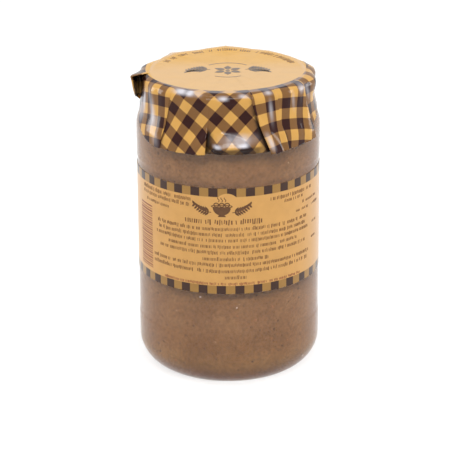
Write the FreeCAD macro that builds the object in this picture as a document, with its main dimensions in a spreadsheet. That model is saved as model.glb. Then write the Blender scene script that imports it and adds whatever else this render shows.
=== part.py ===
import FreeCAD, Part
import math
import os
import Sketcher
from FreeCAD import Placement, Rotation, Vector

# A glass jar of lobster bisque: the jar, the soup in it, a pressed metal lid, a pleated film cover
# draped over the lid, and a paper label round the body. Millimetres, +Z up, the jar's axis on Z,
# its foot at Z = 0 and the middle of the label facing -Y.

doc = FreeCAD.newDocument("bisque_jar")

# ---------------------------------------------------------------- driving dimensions

SIZES = [
    ("body_radius", 37.8, "outside of the glass body"),
    ("wall", 2.6, "glass thickness at the body"),
    ("base_glass", 3.6, "glass thickness over the foot ring"),
    ("floor_crown", 2.8, "rise of the inside floor at its middle"),
    ("foot_inner", 21.5, "inner radius of the ring the jar stands on"),
    ("punt_rise", 2.6, "hollow under the base"),
    ("heel_radius", 12.8, "outside rounding above the foot"),
    ("inner_heel", 9.0, "inside rounding above the floor"),
    ("panel_recess", 0.2, "depth of the label panel"),
    ("panel_foot", 23.4, "height where the label panel begins"),
    ("panel_head", 92.0, "height where the label panel ends"),
    ("panel_ease", 0.8, "height of the slope into the panel"),
    ("shoulder_foot", 104.5, "height where the shoulder begins"),
    ("shoulder_radius", 11.5, "outside rounding of the shoulder"),
    ("shoulder_rise", 8.8, "height of the shoulder's curve"),
    ("neck_radius", 32.4, "outside of the neck under the lid"),
    ("neck_foot", 114.0, "height where the neck begins"),
    ("mouth_radius", 28.6, "inside of the neck"),
    ("throat_radius", 31.0, "inside radius where the shoulder meets the neck"),
    ("throat_head", 117.0, "height where the inside of the neck turns straight"),
    ("rim_height", 125.6, "sealing rim of the glass"),
    ("rim_round", 1.2, "rounding of the sealing rim"),
    ("fill_level", 112.6, "surface of the soup"),
    ("label_foot", 43.25, "lower edge of the label"),
    ("label_head", 88.55, "upper edge of the label"),
    ("label_paper", 0.15, "thickness of the label"),
    ("label_wrap", 330.0, "part of the circle that the label covers, in degrees"),
    ("lid_sheet", 0.6, "thickness of the lid's metal and its lining"),
    ("lid_radius", 34.6, "outside of the lid"),
    ("lid_depth", 10.8, "height of the lid"),
    ("lid_round", 3.0, "rounding of the lid's edge"),
    ("lid_curl", 0.9, "radius of the rolled hem of the lid"),
    ("ring_inner", 28.7, "inner radius of the raised ring on the lid"),
    ("ring_drop", 0.9, "how far the lid's middle lies below the ring"),
    ("ring_slope", 1.3, "width of the slope between ring and middle"),
    ("film", 0.5, "thickness of the cover's solid"),
    ("film_gap", 0.15, "space between the cover and what it drapes over"),
    ("cover_waist", 114.5, "height where the cover is drawn in under the lid"),
    ("cover_waist_radius", 36.5, "outside of the cover there"),
    ("cover_shoulder", 108.0, "height where the cover meets the glass shoulder"),
    ("cover_shoulder_radius", 38.25, "outside of the cover there"),
    ("cover_hem", 102.4, "height of the cover's hem"),
    ("cover_hem_radius", 39.0, "outside of the cover's hem"),
]

sheet = doc.addObject("Spreadsheet::Sheet", "Sizes")
for row, (alias, value, note) in enumerate(SIZES, start=1):
    sheet.set(f"A{row}", alias)
    sheet.set(f"B{row}", str(value))
    sheet.set(f"C{row}", note)
    sheet.setAlias(f"B{row}", alias)
doc.recompute()


def size(alias):
    """A driving dimension's value, in millimetres or degrees."""
    return float(sheet.get(alias))


# ---------------------------------------------------------------- revolved pieces


def arc_between(start, end, radius, turn):
    """The short arc from start to end; a left turn has its centre on the path's left side."""
    chord = end - start
    across = Vector(-chord.y, chord.x, 0).normalize() * turn
    to_centre = math.sqrt(max(radius**2 - (chord.Length / 2) ** 2, 0.0))
    centre = start + chord * 0.5 + across * to_centre
    first, last = (start, end) if turn > 0 else (end, start)
    from_angle = math.atan2(first.y - centre.y, first.x - centre.x)
    to_angle = math.atan2(last.y - centre.y, last.x - centre.x)
    circle = Part.Circle(centre, Vector(0, 0, 1), radius)
    return Part.ArcOfCircle(circle, from_angle, to_angle)


LEFT, RIGHT = 1, -1


def draw_outline(body, name, corners):
    """A closed sketch on the body's XZ plane, every size of it bound to the sheet.

    A corner is (x, z, bend): two formulas and how the path comes to it, None for a straight
    line or (radius formula, LEFT or RIGHT) for an arc.
    """
    sketch = body.newObject("Sketcher::SketchObject", name)
    plane = [datum for datum in body.Origin.OriginFeatures if datum.Role == "XZ_Plane"][0]
    sketch.AttachmentSupport = (plane, [""])
    sketch.MapMode = "FlatFace"

    def bind(constraint, formula):
        index = sketch.addConstraint(constraint)
        sketch.setExpression(f"Constraints[{index}]", formula)

    points = []
    for x_formula, z_formula, bend in corners:
        x, z = (float(sheet.evalExpression(text)) for text in (x_formula, z_formula))
        points.append(Vector(x, z, 0))
    arrivals = []
    departures = []
    for index, (x_formula, z_formula, bend) in enumerate(corners):
        start, end = points[index - 1], points[index]
        if bend is None:
            edge = sketch.addGeometry(Part.LineSegment(start, end), False)
            start_vertex, end_vertex = 1, 2
        else:
            radius_formula, turn = bend
            radius = float(sheet.evalExpression(radius_formula))
            edge = sketch.addGeometry(arc_between(start, end, radius, turn), False)
            start_vertex, end_vertex = (1, 2) if turn > 0 else (2, 1)
            bind(Sketcher.Constraint("Radius", edge, radius), radius_formula)
        departures.append((edge, start_vertex))
        arrivals.append((edge, end_vertex))
    for index, (x_formula, z_formula, bend) in enumerate(corners):
        vertex = arrivals[index]
        following = departures[(index + 1) % len(corners)]
        sketch.addConstraint(Sketcher.Constraint("Coincident", *vertex, *following))
        if x_formula == "0":
            sketch.addConstraint(Sketcher.Constraint("PointOnObject", *vertex, -2))
        else:
            reach = Sketcher.Constraint("DistanceX", -1, 1, *vertex, points[index].x)
            bind(reach, x_formula)
        if z_formula == "0":
            sketch.addConstraint(Sketcher.Constraint("PointOnObject", *vertex, -1))
        else:
            reach = Sketcher.Constraint("DistanceY", -1, 1, *vertex, points[index].y)
            bind(reach, z_formula)
    return sketch


def turned_piece(name, corners, sweep="360"):
    """A body made by turning an outline about Z, half of the sweep to each side of +X."""
    body = doc.addObject("PartDesign::Body", name.capitalize())
    body.Label = name
    outline = draw_outline(body, name + "_outline", corners)
    turn = body.newObject("PartDesign::Revolution", name + "_turned")
    turn.Profile = outline
    turn.ReferenceAxis = (outline, ["V_Axis"])
    turn.Midplane = True
    turn.setExpression("Angle", sweep)
    outline.Visibility = False
    return body


# Glass: a foot ring round a shallow punt, a wide heel, a shallow label panel between two bands,
# a rounded shoulder and a straight neck that ends in the sealing rim.
PANEL_RADIUS = "Sizes.body_radius - Sizes.panel_recess"
INNER_RADIUS = "Sizes.body_radius - Sizes.wall"
SHOULDER_AXIS = "Sizes.body_radius - Sizes.shoulder_radius"
INNER_SHOULDER = "Sizes.shoulder_radius - Sizes.wall"
SHOULDER_TOP = (
    f"{SHOULDER_AXIS} + sqrt(Sizes.shoulder_radius^2 - Sizes.shoulder_rise^2)",
    "Sizes.shoulder_foot + Sizes.shoulder_rise",
)
THROAT = (
    "Sizes.throat_radius",
    f"Sizes.shoulder_foot + sqrt(({INNER_SHOULDER})^2 - (Sizes.throat_radius - ({SHOULDER_AXIS}))^2)",
)
FLOOR_EDGE = f"{INNER_RADIUS} - Sizes.inner_heel"
FLOOR_CURVE = f"(({FLOOR_EDGE})^2 + Sizes.floor_crown^2) / (2 * Sizes.floor_crown)"
FLOOR_MIDDLE = "Sizes.base_glass + Sizes.floor_crown"
PUNT_CURVE = "(Sizes.foot_inner^2 + Sizes.punt_rise^2) / (2 * Sizes.punt_rise)"

jar = turned_piece(
    "jar",
    [
        ("0", "Sizes.punt_rise", None),
        ("Sizes.foot_inner", "0", (PUNT_CURVE, RIGHT)),
        ("Sizes.body_radius - Sizes.heel_radius", "0", None),
        ("Sizes.body_radius", "Sizes.heel_radius", ("Sizes.heel_radius", LEFT)),
        ("Sizes.body_radius", "Sizes.panel_foot", None),
        (PANEL_RADIUS, "Sizes.panel_foot + Sizes.panel_ease", None),
        (PANEL_RADIUS, "Sizes.panel_head - Sizes.panel_ease", None),
        ("Sizes.body_radius", "Sizes.panel_head", None),
        ("Sizes.body_radius", "Sizes.shoulder_foot", None),
        (*SHOULDER_TOP, ("Sizes.shoulder_radius", LEFT)),
        ("Sizes.neck_radius", "Sizes.neck_foot", None),
        ("Sizes.neck_radius", "Sizes.rim_height - Sizes.rim_round", None),
        ("Sizes.neck_radius - Sizes.rim_round", "Sizes.rim_height", ("Sizes.rim_round", LEFT)),
        ("Sizes.mouth_radius + Sizes.rim_round", "Sizes.rim_height", None),
        ("Sizes.mouth_radius", "Sizes.rim_height - Sizes.rim_round", ("Sizes.rim_round", LEFT)),
        ("Sizes.mouth_radius", "Sizes.throat_head", None),
        (*THROAT, None),
        (INNER_RADIUS, "Sizes.shoulder_foot", (INNER_SHOULDER, RIGHT)),
        (INNER_RADIUS, "Sizes.base_glass + Sizes.inner_heel", None),
        (FLOOR_EDGE, "Sizes.base_glass", ("Sizes.inner_heel", RIGHT)),
        ("0", FLOOR_MIDDLE, (FLOOR_CURVE, LEFT)),
    ],
)

# Soup: what the glass holds, against its wall all round and level on top, inside the shoulder.
FILL_RADIUS = (
    f"{SHOULDER_AXIS} + sqrt(({INNER_SHOULDER})^2 - (Sizes.fill_level - Sizes.shoulder_foot)^2)"
)
bisque = turned_piece(
    "bisque",
    [
        ("0", FLOOR_MIDDLE, None),
        (FLOOR_EDGE, "Sizes.base_glass", (FLOOR_CURVE, RIGHT)),
        (INNER_RADIUS, "Sizes.base_glass + Sizes.inner_heel", ("Sizes.inner_heel", LEFT)),
        (INNER_RADIUS, "Sizes.shoulder_foot", None),
        (FILL_RADIUS, "Sizes.fill_level", (INNER_SHOULDER, LEFT)),
        ("0", "Sizes.fill_level", None),
    ],
)

# Label: one sheet of paper glued round the panel, its two ends apart at the back.
label = turned_piece(
    "label",
    [
        (PANEL_RADIUS, "Sizes.label_foot", None),
        (f"{PANEL_RADIUS} + Sizes.label_paper", "Sizes.label_foot", None),
        (f"{PANEL_RADIUS} + Sizes.label_paper", "Sizes.label_head", None),
        (PANEL_RADIUS, "Sizes.label_head", None),
    ],
    "Sizes.label_wrap",
)
label.Placement = Placement(Vector(0, 0, 0), Rotation(Vector(0, 0, 1), -90))

# Lid: pressed sheet metal, its middle below a raised ring that seals on the glass rim, its
# skirt hanging round the neck and rolled inwards at the hem.
LID_TOP = "Sizes.rim_height + Sizes.lid_sheet"
LID_MIDDLE = f"{LID_TOP} - Sizes.ring_drop"
LID_FOOT = f"{LID_TOP} - Sizes.lid_depth"
LID_INSIDE = "Sizes.lid_radius - Sizes.lid_sheet"
CURL_AXIS = "Sizes.lid_radius - Sizes.lid_curl"
SLOPE_FOOT = "Sizes.ring_inner - Sizes.ring_slope"

lid = turned_piece(
    "lid",
    [
        ("0", LID_MIDDLE, None),
        (SLOPE_FOOT, LID_MIDDLE, None),
        ("Sizes.ring_inner", LID_TOP, None),
        ("Sizes.lid_radius - Sizes.lid_round", LID_TOP, None),
        ("Sizes.lid_radius", f"{LID_TOP} - Sizes.lid_round", ("Sizes.lid_round", RIGHT)),
        ("Sizes.lid_radius", f"{LID_FOOT} + Sizes.lid_curl", None),
        (CURL_AXIS, LID_FOOT, ("Sizes.lid_curl", RIGHT)),
        (f"{CURL_AXIS} - Sizes.lid_curl", f"{LID_FOOT} + Sizes.lid_curl", ("Sizes.lid_curl", RIGHT)),
        (CURL_AXIS, f"{LID_FOOT} + 2 * Sizes.lid_curl", ("Sizes.lid_curl", RIGHT)),
        (LID_INSIDE, f"{LID_FOOT} + 3 * Sizes.lid_curl", None),
        (LID_INSIDE, f"{LID_TOP} - Sizes.lid_round", None),
        (
            "Sizes.lid_radius - Sizes.lid_round",
            f"{LID_TOP} - Sizes.lid_sheet",
            ("Sizes.lid_round - Sizes.lid_sheet", LEFT),
        ),
        ("Sizes.ring_inner + Sizes.lid_sheet / 2", f"{LID_TOP} - Sizes.lid_sheet", None),
        (f"{SLOPE_FOOT} + Sizes.lid_sheet / 2", f"{LID_MIDDLE} - Sizes.lid_sheet", None),
        ("0", f"{LID_MIDDLE} - Sizes.lid_sheet", None),
    ],
)

# ---------------------------------------------------------------- pleated cover
#
# A round of printed film, flat over the lid, turned down at its edge and gathered into
# overlapping pleats that flare over the glass shoulder. Angles run anticlockwise from above and
# are zero at -Y, the front. A pleat is a ridge: it climbs steeply on its folded side and dies
# away on the other. It is nothing at the lid's edge and full at the hem, which it reaches
# further round than it starts.

# (angle at the lid, angle at the hem, height at the hem, width of its folded side, of its tail)
PLEATS = [
    (-66, -64, 1.2, 5, 9),
    (-44, -45, 0.5, 3, 6),
    (-19, -14, 1.5, 4, 22),
    (14, 27, 1.3, -4, -14),
    (37, 39, 0.6, 3, 6),
    (59, 64, 1.0, -5, -12),
    (97, 100, 1.1, 5, 14),
    (128, 124, 1.4, -5, -16),
    (152, 156, 0.9, 4, 12),
    (178, 184, 1.5, 5, 20),
    (212, 208, 1.2, -4, -15),
    (238, 241, 1.0, 5, 12),
    (262, 266, 0.8, 4, 10),
]
# (middle, half width, how far the hem is drawn up there)
HEM_LIFTS = [(5.5, 15.0, 2.8), (-92.0, 24.0, 8.4), (92.0, 26.0, 9.4), (170.0, 14.0, 2.2)]
# Where the surplus film at the left stands out from the lid as one wide fold.
WING_ANGLE = -84.0
WING_HALF_WIDTH = 9.0
WING_REACH = 3.9
WING_FOOT = 113.0

AROUND = 120
SKIRT_ROWS = 6
LID_EDGE = size("rim_height") + size("lid_sheet")
CORNER = size("lid_round") + size("film")


def turn_between(angle, other):
    """The signed angle from other to angle, within half a turn."""
    return (angle - other + 180.0) % 360.0 - 180.0


def ease(fraction):
    """A smooth step from 0 to 1."""
    fraction = min(max(fraction, 0.0), 1.0)
    return fraction * fraction * (3 - 2 * fraction)


def hem_height(angle):
    """Height of the cover's hem at an angle."""
    height = size("cover_hem")
    for middle, half_width, lift in HEM_LIFTS:
        off = abs(turn_between(angle, middle)) / half_width
        height += lift * ease(1.35 - off)
    return height


def pleat_lift(angle, fall):
    """How far the pleats stand out at an angle; fall is 0 at the lid's edge and 1 at the hem."""
    lift = 0.0
    for lid_angle, hem_angle, height, folded, tail in PLEATS:
        crest = lid_angle + (hem_angle - lid_angle) * fall
        off = turn_between(angle, crest)
        width = folded if off * folded < 0 else tail
        lift += height * ease(1 - abs(off / width)) * ease(fall * 1.4)
    return lift


def wing_lift(angle, height):
    """How far the wide fold at the left stands out."""
    across = ease(1 - abs(turn_between(angle, WING_ANGLE)) / WING_HALF_WIDTH)
    upward = ease((height - WING_FOOT) / (LID_EDGE - WING_FOOT))
    return WING_REACH * across * upward


def draped_radius(height):
    """Outside of the cover without its pleats: lid's edge, waist, glass shoulder, hem."""
    stations = [
        (LID_EDGE + size("film") - CORNER, size("lid_radius") + size("film_gap") + size("film")),
        (size("cover_waist"), size("cover_waist_radius")),
        (size("cover_shoulder"), size("cover_shoulder_radius")),
        (size("cover_hem"), size("cover_hem_radius")),
    ]
    for (above, upper_radius), (below, lower_radius) in zip(stations, stations[1:]):
        if height >= below:
            share = (above - height) / (above - below)
            return upper_radius + (lower_radius - upper_radius) * min(max(share, 0.0), 1.0)
    return size("cover_hem_radius")


def cover_poles(angle, inset):
    """Control points of one meridian, from the flat top's edge down to the hem.

    The inset is 0 for the outside of the film and its thickness for the inside.
    """
    top = LID_EDGE + size("film") - inset
    turned = LID_EDGE + size("film") - CORNER
    skirt = draped_radius(turned) - inset
    rows = [
        (size("lid_radius") - size("lid_round"), top),
        (skirt - 0.25 * CORNER, top),
        (skirt, top - 0.25 * CORNER),
    ]
    for row in range(SKIRT_ROWS + 1):
        fall = row / SKIRT_ROWS
        height = turned - (turned - hem_height(angle)) * fall
        rows.append((draped_radius(height) - inset + pleat_lift(angle, fall), height))
    heading = math.radians(angle)
    poles = []
    for row, (radius, height) in enumerate(rows):
        if row > 0:
            radius += wing_lift(angle, height)
        poles.append(Vector(radius * math.sin(heading), -radius * math.cos(heading), height))
    return poles


def draped_face(inset):
    """One side of the film as a single smooth surface that closes on itself."""
    poles = [cover_poles(360.0 * step / AROUND, inset) for step in range(AROUND)]
    across = len(poles[0])
    surface = Part.BSplineSurface()
    surface.buildFromPolesMultsKnots(
        poles,
        [1] * (AROUND + 1),
        [4] + [1] * (across - 4) + [4],
        list(range(AROUND + 1)),
        list(range(across - 2)),
        True,
        False,
        3,
        3,
    )
    return surface.toShape()


def edge_at(face, lowest):
    """The face's closed edge at the hem if lowest, otherwise the one round the flat top."""
    loops = [edge for edge in face.Edges if edge.isClosed()]
    loops.sort(key=lambda edge: edge.BoundBox.Center.z)
    return loops[0] if lowest else loops[-1]


outside = draped_face(0.0)
inside = draped_face(size("film"))
faces = [
    outside,
    inside,
    Part.Face(Part.Wire(edge_at(outside, False))),
    Part.Face(Part.Wire(edge_at(inside, False))),
    Part.makeRuledSurface(edge_at(outside, True), edge_at(inside, True)),
]
shell = Part.makeShell(faces)
shell.sewShape()
cover_solid = Part.makeSolid(shell)
cover_solid.fix(1e-4, 1e-4, 1e-3)
if cover_solid.Volume < 0:
    cover_solid.reverse()

cover = doc.addObject("Part::Feature", "Cover")
cover.Label = "cover"
cover.Shape = cover_solid
cover.Placement = Placement(Vector(0, 0, 0), Rotation())

# ---------------------------------------------------------------- checks and files

doc.recompute()
for item in doc.Objects:
    if "Invalid" in item.State or "Error" in item.State:
        raise RuntimeError(f"{item.Label} did not build: {item.State}")

PIECES = [jar, bisque, label, lid, cover]
for piece in PIECES:
    shape = piece.Shape
    if shape.isNull() or not shape.isValid() or len(shape.Solids) != 1:
        raise RuntimeError(f"{piece.Label} is not one valid solid")
    print(f"{piece.Label}: {shape.Volume / 1000:.2f} cm3, {shape.BoundBox}")
for index, piece in enumerate(PIECES):
    for other in PIECES[index + 1 :]:
        shared = piece.Shape.common(other.Shape).Volume
        if shared > 1.0:
            raise RuntimeError(f"{piece.Label} and {other.Label} share {shared:.1f} mm3")

os.makedirs("parts", exist_ok=True)
for piece in PIECES:
    piece.Shape.exportStep(f"parts/{piece.Label}.step")
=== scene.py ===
import math
from functools import partial, partialmethod
from math import cos, pi, radians, sin

import bmesh
import bpy
import numpy as np
from mathutils import Euler, Matrix, Vector, noise


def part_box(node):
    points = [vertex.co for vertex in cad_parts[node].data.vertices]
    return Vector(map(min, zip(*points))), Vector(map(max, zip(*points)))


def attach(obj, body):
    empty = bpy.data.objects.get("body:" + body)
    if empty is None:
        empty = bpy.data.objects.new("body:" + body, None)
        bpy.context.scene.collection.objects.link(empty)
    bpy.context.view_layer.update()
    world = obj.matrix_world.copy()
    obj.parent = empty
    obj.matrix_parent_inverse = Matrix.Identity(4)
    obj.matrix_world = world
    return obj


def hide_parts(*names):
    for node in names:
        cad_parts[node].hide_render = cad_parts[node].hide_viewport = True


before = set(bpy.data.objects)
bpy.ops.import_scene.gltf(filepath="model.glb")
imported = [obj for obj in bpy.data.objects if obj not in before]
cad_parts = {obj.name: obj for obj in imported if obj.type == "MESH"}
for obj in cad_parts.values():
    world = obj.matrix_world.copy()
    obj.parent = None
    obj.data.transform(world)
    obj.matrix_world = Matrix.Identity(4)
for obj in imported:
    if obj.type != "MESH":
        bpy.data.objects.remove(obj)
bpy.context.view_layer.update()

MM = 0.001
scene = bpy.context.scene

# --- where the jar is looked at
# A long lens a metre away, a little above the lid, with the jar in the middle of the frame.
# The middle of the label faces it.

SIGHT_HEIGHT = 58.57 * MM
SIGHT_OFFSET = -1.1 * MM
SIGHT_DISTANCE = 951.4 * MM
SIGHT_ELEVATION = radians(20.64)
SIGHT_LEAN = 0.006
LENS, LENS_WIDTH = 181.07, 36


def shown(name, data):
    """A new object in the scene."""
    thing = bpy.data.objects.new(name, data)
    scene.collection.objects.link(thing)
    return thing


camera = shown("camera", bpy.data.cameras.new("camera"))
camera.data.sensor_width = LENS_WIDTH
camera.data.lens = LENS
camera.data.clip_start = 0.01
camera.location = (
    SIGHT_OFFSET,
    -SIGHT_DISTANCE * cos(SIGHT_ELEVATION),
    SIGHT_HEIGHT + SIGHT_DISTANCE * sin(SIGHT_ELEVATION),
)
level = Euler((pi / 2 - SIGHT_ELEVATION, 0, 0)).to_matrix()
camera.rotation_euler = (level @ Matrix.Rotation(-SIGHT_LEAN, 3, "Z")).to_euler()
scene.camera = camera
scene.view_settings.view_transform = "Standard"

# --- the white table and its light
# A pale sweep under four soft lamps: one high in front, a narrow one above and one at each
# side. Seen directly, mirrored or through the glass, the sweep and the room are white.

ROOM_LIGHT = 0.45
SWEEP_HALF = 3.0
SWEEP_LIT = (0.8, 0.8, 0.8)
SWEEP_SEEN = (0.5, 0.5, 0.5)
SWEEP_GLOW = 0.6
WHITE = (1, 1, 1)
# Name, place, width, height and power in watts.
LAMPS = [
    ("lamp_high", (0.12, -0.75, 0.95), 1.0, 0.16, 9.0),
    ("lamp_top", (-0.1, -0.1, 1.15), 1.3, 0.05, 2.6),
    ("lamp_left", (-1.05, 0.36, 0.25), 0.35, 0.9, 7.6),
    ("lamp_right", (1.05, 0.4, 0.25), 0.35, 0.9, 6.4),
]
LAMPS_AIM = Vector((0, 0, 0.07))


class Flow:
    """What runs out of a node. Arithmetic on it adds Math nodes to the node's tree."""

    def __init__(self, node, out=0):
        self.node, self.out, self.tree = node, out, node.id_data

    def to(self, operation, *others):
        """This and others, flows or plain numbers, put through one Math node."""
        values = dict(enumerate((self, *others)))
        return add(self.tree, "Math", values, operation=operation)

    __add__ = partialmethod(to, "ADD")
    __sub__ = partialmethod(to, "SUBTRACT")
    __mul__ = partialmethod(to, "MULTIPLY")
    __truediv__ = partialmethod(to, "DIVIDE")

    def __rsub__(self, number):
        return add(self.tree, "Math", {0: number, 1: self}, operation="SUBTRACT")


def fill(node, sockets):
    """Fills a node's sockets, by name or number: a flow is linked and a plain value is set."""
    for name, value in sockets.items():
        socket = node.inputs[name]
        if isinstance(value, Flow):
            node.id_data.links.new(value.node.outputs[value.out], socket)
        else:
            socket.default_value = (*value, 1) if socket.type == "RGBA" else value


def add(tree, kind, sockets={}, out=0, **settings):
    """What runs out of a new node that has its settings made and its sockets filled.

    A kind that doesn't name its family is a shader node.
    """
    node = tree.nodes.new(kind if "Node" in kind else "ShaderNode" + kind)
    for name, value in settings.items():
        setattr(node, name, value)
    fill(node, sockets)
    return Flow(node, out)


def lit_or_seen(tree, end, lit, seen):
    """Ends a tree: one look for the light that falls on things, one where a ray sees it."""
    path = tree.nodes.new("ShaderNodeLightPath")
    sees = Flow(path, "Is Camera Ray").to("MAXIMUM", Flow(path, "Is Glossy Ray"))
    sees = sees.to("MAXIMUM", Flow(path, "Is Transmission Ray"))
    add(tree, end, {"Surface": add(tree, "MixShader", {0: sees, 1: lit, 2: seen})})


world = bpy.data.worlds.new("room")
scene.world = world
world.use_nodes = True
tree = world.node_tree
tree.nodes.clear()
lit_or_seen(
    tree, "OutputWorld",
    add(tree, "Background", {"Color": WHITE, "Strength": ROOM_LIGHT}),
    add(tree, "Background", {"Color": WHITE}),
)

sweep_finish = bpy.data.materials.new("table_sweep")
sweep_finish.use_nodes = True
tree = sweep_finish.node_tree
tree.nodes.clear()
glowing = add(tree, "AddShader", {
    0: add(tree, "BsdfDiffuse", {"Color": SWEEP_SEEN}),
    1: add(tree, "Emission", {"Color": WHITE, "Strength": SWEEP_GLOW}),
})
lit_or_seen(tree, "OutputMaterial", add(tree, "BsdfDiffuse", {"Color": SWEEP_LIT}), glowing)

sweep_mesh = bpy.data.meshes.new("table_sweep")
corners = [(x * SWEEP_HALF, y * SWEEP_HALF, 0) for x, y in ((-1, -1), (1, -1), (1, 1), (-1, 1))]
sweep_mesh.from_pydata(corners, [], [(0, 1, 2, 3)])
sweep_mesh.materials.append(sweep_finish)
sweep = shown("table_sweep", sweep_mesh)

for name, place, width, tall, power in LAMPS:
    lamp = shown(name, bpy.data.lights.new(name, "AREA"))
    lamp.data.shape = "RECTANGLE"
    lamp.data.size = width
    lamp.data.size_y = tall
    lamp.data.energy = power
    lamp.location = place
    lamp.rotation_euler = (LAMPS_AIM - Vector(place)).to_track_quat("-Z", "Y").to_euler()

# --- glass jar
# Pressed clear glass: a foot ring round a shallow punt, a wide rounded heel, a label panel set
# back between two bands, a rounded shoulder and a neck that the lid closes.

jar_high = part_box("jar")[1]
BODY_RADIUS = jar_high.x
RIM_HEIGHT = jar_high.z
GLASS = 2.6 * MM
HEEL = 12.8 * MM
FOOT_INNER = 21.5 * MM
PUNT_RISE = 2.6 * MM
PANEL_RECESS = 0.2 * MM
PANEL_FOOT = 23.4 * MM
PANEL_HEAD = 92 * MM
PANEL_EASE = 0.8 * MM
PANEL_RADIUS = BODY_RADIUS - PANEL_RECESS
# The panel's slopes begin and end softly, over this height and this depth.
SOFT_RUN = 0.2 * MM
SOFT_DEPTH = 0.02 * MM
SHOULDER_FOOT = 104.5 * MM
SHOULDER = 11.5 * MM
SHOULDER_END = 50
SHOULDER_AXIS = BODY_RADIUS - SHOULDER
INNER_RADIUS = BODY_RADIUS - GLASS
INNER_HEEL = 9 * MM
INNER_FOOT = INNER_RADIUS - INNER_HEEL
FLOOR_GLASS = 3.6 * MM
FLOOR_CROWN = 2.8 * MM
NECK_RADIUS = 32.4 * MM
NECK_FOOT = 114 * MM
MOUTH_RADIUS = 28.6 * MM
THROAT_RADIUS = 31 * MM
THROAT_HEAD = 117 * MM
RIM_ROUND = 1.2 * MM
AROUND_GLASS = 256


def arc_points(x, y, across, tall, from_degrees, to_degrees, steps):
    """Points of part of an ellipse; 0 degrees points away from the axis and 90 up."""
    turns = [
        radians(from_degrees + (to_degrees - from_degrees) * step / steps)
        for step in range(steps + 1)
    ]
    return [(x + across * cos(turn), y + tall * sin(turn)) for turn in turns]


def bend(x, y, radius, *sweep):
    """Points of an arc in an outline; the sweep is two angles in degrees and the steps."""
    return arc_points(x, y, radius, radius, *sweep)


def dished(edge_radius, edge_height, rise, steps):
    """Points from the axis out to an edge that lies lower than the middle by the rise."""
    shares = [step / steps for step in range(steps + 1)]
    return [(edge_radius * share, edge_height + rise * (1 - share * share)) for share in shares]


def around(radius, turn, height):
    """The point at a radius, a turn from the front in radians, and a height."""
    return (radius * sin(turn), -radius * cos(turn), height)


def mesh_of(shape):
    """The shape as a mesh of its own."""
    mesh = bpy.data.meshes.new("made")
    shape.to_mesh(mesh)
    shape.free()
    return mesh


def turned_mesh(outline, steps):
    """A closed mesh made by turning (radius, height) points about the Z axis."""
    shape = bmesh.new()
    rings = []
    for radius, height in outline:
        if radius < 1e-6:
            rings.append([shape.verts.new((0, 0, height))] * steps)
        else:
            rings.append([
                shape.verts.new(around(radius, 2 * pi * step / steps, height))
                for step in range(steps)
            ])
    for low, high in zip(rings, rings[1:]):
        for step in range(steps):
            after = (step + 1) % steps
            corners = list(dict.fromkeys((low[step], low[after], high[after], high[step])))
            if len(corners) > 2:
                shape.faces.new(corners)
    bmesh.ops.recalc_face_normals(shape, faces=shape.faces)
    for face in shape.faces:
        face.smooth = True
    return mesh_of(shape)


def finish(name, roughness, specular=0.5, sockets={}):
    """A new material, its node tree and its shader with the sockets filled."""
    material = bpy.data.materials.new(name)
    material.use_nodes = True
    shader = material.node_tree.nodes["Principled BSDF"]
    fill(shader, {"Roughness": roughness, "Specular IOR Level": specular, **sockets})
    return material, material.node_tree, shader


def clouds(tree, scale, detail=2.0, roughness=0.5, on=None):
    """Uneven noise fixed to the piece."""
    on = on or add(tree, "TexCoord", out="Object")
    return add(tree, "TexNoise", {
        "Vector": on, "Scale": scale, "Detail": detail, "Roughness": roughness,
    })


def relief(height, strength, distance):
    """The lie of a surface with fine relief."""
    return add(height.tree, "Bump", {"Height": height, "Strength": strength, "Distance": distance})


def place_piece(name, mesh, material, slot, *nodes):
    """The finished piece in the scene, riding on the jar's one body."""
    mesh.name = name
    mesh.materials.clear()
    mesh.materials.append(material)
    piece = shown(name, mesh)
    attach(piece, "root")
    if nodes:
        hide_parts(*nodes)
    return piece


throat_turn = math.degrees(math.acos((THROAT_RADIUS - SHOULDER_AXIS) / (SHOULDER - GLASS)))
slope = [
    (BODY_RADIUS, -SOFT_RUN), (BODY_RADIUS - SOFT_DEPTH, 0),
    (PANEL_RADIUS + SOFT_DEPTH, PANEL_EASE), (PANEL_RADIUS, PANEL_EASE + SOFT_RUN),
]
jar_outline = dished(FOOT_INNER, 0, PUNT_RISE, 10)
jar_outline += bend(BODY_RADIUS - HEEL, HEEL, HEEL, -90, 0, 18)
jar_outline += [(radius, PANEL_FOOT + rise) for radius, rise in slope]
jar_outline += [(radius, PANEL_HEAD - rise) for radius, rise in slope[::-1]]
jar_outline += bend(SHOULDER_AXIS, SHOULDER_FOOT, SHOULDER, 0, SHOULDER_END, 14)
jar_outline += [(NECK_RADIUS, NECK_FOOT)]
jar_outline += bend(NECK_RADIUS - RIM_ROUND, RIM_HEIGHT - RIM_ROUND, RIM_ROUND, 0, 90, 5)
jar_outline += bend(MOUTH_RADIUS + RIM_ROUND, RIM_HEIGHT - RIM_ROUND, RIM_ROUND, 90, 180, 5)
jar_outline += [(MOUTH_RADIUS, THROAT_HEAD)]
jar_outline += bend(SHOULDER_AXIS, SHOULDER_FOOT, SHOULDER - GLASS, throat_turn, 0, 12)
jar_outline += bend(INNER_FOOT, FLOOR_GLASS + INNER_HEEL, INNER_HEEL, 0, -90, 12)
jar_outline += dished(INNER_FOOT, FLOOR_GLASS, FLOOR_CROWN, 8)[-2::-1]

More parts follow.
